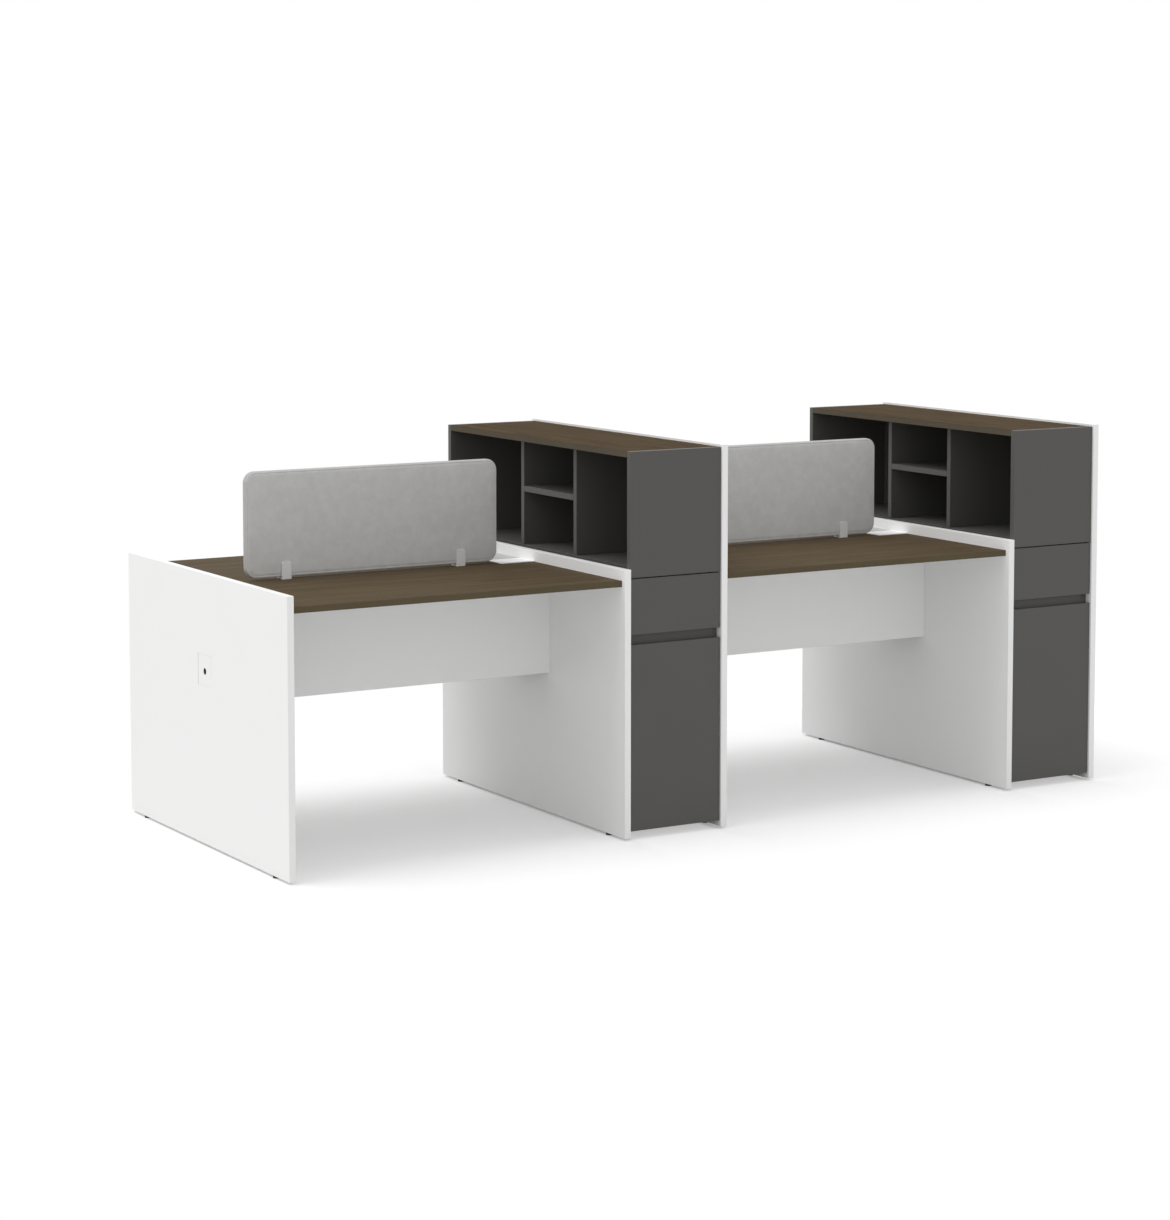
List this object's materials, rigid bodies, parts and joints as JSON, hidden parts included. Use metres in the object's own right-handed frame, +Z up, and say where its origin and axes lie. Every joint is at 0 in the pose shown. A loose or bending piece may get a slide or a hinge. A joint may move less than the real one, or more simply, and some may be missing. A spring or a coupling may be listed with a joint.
{
  "type": "workstation cluster",
  "caption": "White-panelled back-to-back office workstations with dark wood tops, grey storage towers with open pigeonholes, drawers and doors, and fabric desk screens.",
  "frame": {"origin": "centre of the bounding box's bottom face, on the floor", "axes": "+X along the row of bays towards the right tall panel, +Y from the front seats to the seats behind, +Z up"},
  "size_m": [2.786, 1.106, 1.125],
  "materials": {
    "white_board": "white melamine, satin",
    "grey_board": "dark grey melamine, matt",
    "walnut_board": "dark walnut melamine, matt",
    "screen_fabric": "woven grey felt-like cloth",
    "clear_plastic": "frosted clear plastic",
    "black_plastic": "moulded black",
    "white_plastic": "moulded white",
    "white_steel": "powder coated white",
    "lock_metal": "black lacquered cam lock",
    "drawer_board": "grey drawer board",
    "zinc_steel": "zinc plated"
  },
  "bodies": {
    "frame": {"end_panel": "white_board", "floor_glides": "black_plastic", "cable_trays": "white_steel", "cable_port_frames": "white_plastic", "screen_saddles": "clear_plastic", "tower_shelves": "grey_board", "tower_backs": "grey_board", "cabinet_partitions": "grey_board", "cabinet_bottoms": "grey_board", "cabinet_tops": "grey_board", "grip_rails": "grey_board", "drawer_runners": "zinc_steel", "hinge_arms": "zinc_steel", "low_panel_1": "white_board", "tall_panel_1": "white_board", "modesty_panels_1": "white_board", "screen_1": "screen_fabric", "tower_top_1": "walnut_board", "tower_end_boards_1": "grey_board", "tower_dividers_1": "grey_board", "tower_floor_1": "grey_board", "cabinet_sides_1": "grey_board", "low_panel_2": "white_board", "tall_panel_2": "white_board", "modesty_panels_2": "white_board", "screen_2": "screen_fabric", "tower_top_2": "walnut_board", "tower_end_boards_2": "grey_board", "tower_dividers_2": "grey_board", "tower_floor_2": "grey_board", "cabinet_sides_2": "grey_board", "worktop_a": "walnut_board", "worktop_b": "walnut_board", "worktop_c": "walnut_board", "worktop_d": "walnut_board"},
    "drawer_a": {"drawer_front_a": "grey_board", "drawer_box_a": "drawer_board", "drawer_slides_a": "zinc_steel"},
    "door_leaf_a": {"door_a": "grey_board", "door_hinge_cups_a": "zinc_steel"},
    "drawer_b": {"drawer_front_b": "grey_board", "drawer_box_b": "drawer_board", "drawer_slides_b": "zinc_steel"},
    "door_leaf_b": {"door_b": "grey_board", "door_hinge_cups_b": "zinc_steel"},
    "drawer_c": {"drawer_front_c": "grey_board", "drawer_box_c": "drawer_board", "drawer_slides_c": "zinc_steel"},
    "door_leaf_c": {"door_c": "grey_board", "door_hinge_cups_c": "zinc_steel"},
    "drawer_d": {"drawer_front_d": "grey_board", "drawer_box_d": "drawer_board", "drawer_slides_d": "zinc_steel"},
    "door_leaf_d": {"door_d": "grey_board", "door_hinge_cups_d": "zinc_steel"},
    "port_flap_1": {"cable_port_flap_1": "white_plastic"},
    "port_flap_2": {"cable_port_flap_2": "white_plastic"},
    "hatch": {"hatch_door": "white_plastic"},
    "lock": {"hatch_lock": "lock_metal"}
  },
  "joints": [
    {"name": "drawer_slide_a", "type": "slide", "parent": "frame", "child": "drawer_a", "axis": [0, -1, 0], "range_m": [0, 0.33]},
    {"name": "door_hinge_a", "type": "hinge", "parent": "frame", "child": "door_leaf_a", "pos_m": [-0.0115, -0.547, 0.2945], "axis": [0, 0, 1], "range_deg": [0, 95]},
    {"name": "drawer_slide_b", "type": "slide", "parent": "frame", "child": "drawer_b", "axis": [0, 1, 0], "range_m": [0, 0.33]},
    {"name": "door_hinge_b", "type": "hinge", "parent": "frame", "child": "door_leaf_b", "pos_m": [-0.0115, 0.547, 0.2945], "axis": [0, 0, -1], "range_deg": [0, 95]},
    {"name": "drawer_slide_c", "type": "slide", "parent": "frame", "child": "drawer_c", "axis": [0, -1, 0], "range_m": [0, 0.33]},
    {"name": "door_hinge_c", "type": "hinge", "parent": "frame", "child": "door_leaf_c", "pos_m": [1.3715, -0.547, 0.2945], "axis": [0, 0, 1], "range_deg": [0, 95]},
    {"name": "drawer_slide_d", "type": "slide", "parent": "frame", "child": "drawer_d", "axis": [0, 1, 0], "range_m": [0, 0.33]},
    {"name": "door_hinge_d", "type": "hinge", "parent": "frame", "child": "door_leaf_d", "pos_m": [1.3715, 0.547, 0.2945], "axis": [0, 0, -1], "range_deg": [0, 95]},
    {"name": "port_flap_hinge_1", "type": "hinge", "parent": "frame", "child": "port_flap_1", "pos_m": [-0.3479, 0.009, 0.7505], "axis": [0, 1, 0], "range_deg": [0, 90]},
    {"name": "port_flap_hinge_2", "type": "hinge", "parent": "frame", "child": "port_flap_2", "pos_m": [1.0351, 0.009, 0.7505], "axis": [0, 1, 0], "range_deg": [0, 90]},
    {"name": "hatch_hinge", "type": "hinge", "parent": "frame", "child": "hatch", "pos_m": [-1.388, 0.0396, 0.506], "axis": [0, 0, -1], "range_deg": [0, 90]},
    {"name": "hatch_lock_turn", "type": "hinge", "parent": "hatch", "child": "lock", "pos_m": [-1.393, -0.004, 0.503], "axis": [1, 0, 0], "range_deg": [0, 90]}
  ]
}
